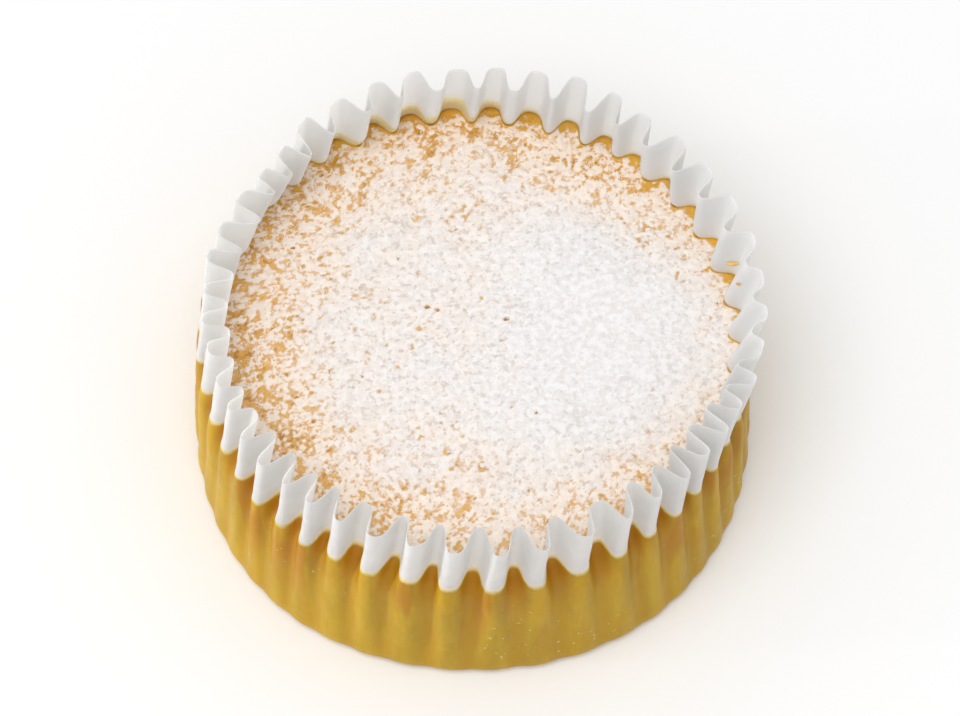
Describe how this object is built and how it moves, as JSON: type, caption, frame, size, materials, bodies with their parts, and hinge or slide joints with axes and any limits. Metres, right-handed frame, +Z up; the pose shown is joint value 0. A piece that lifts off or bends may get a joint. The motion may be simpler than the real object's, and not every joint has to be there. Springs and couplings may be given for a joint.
{
  "type": "cheesecake in paper case",
  "caption": "Small round souffle cheesecake baked in a pleated white paper case, its top dusted with icing sugar.",
  "frame": {"origin": "middle of the flat base of the paper case", "axes": "+Z up out of the case, -Y towards the side that the picture shows"},
  "size_m": [0.0747, 0.0742, 0.0339],
  "materials": {
    "paper": "matte white paper, soaked golden with butter below the cake's edge",
    "cake": "golden baked crust under a dusting of white icing sugar"
  },
  "bodies": {
    "root": {"paper_case": "paper", "cake": "cake"}
  },
  "joints": []
}
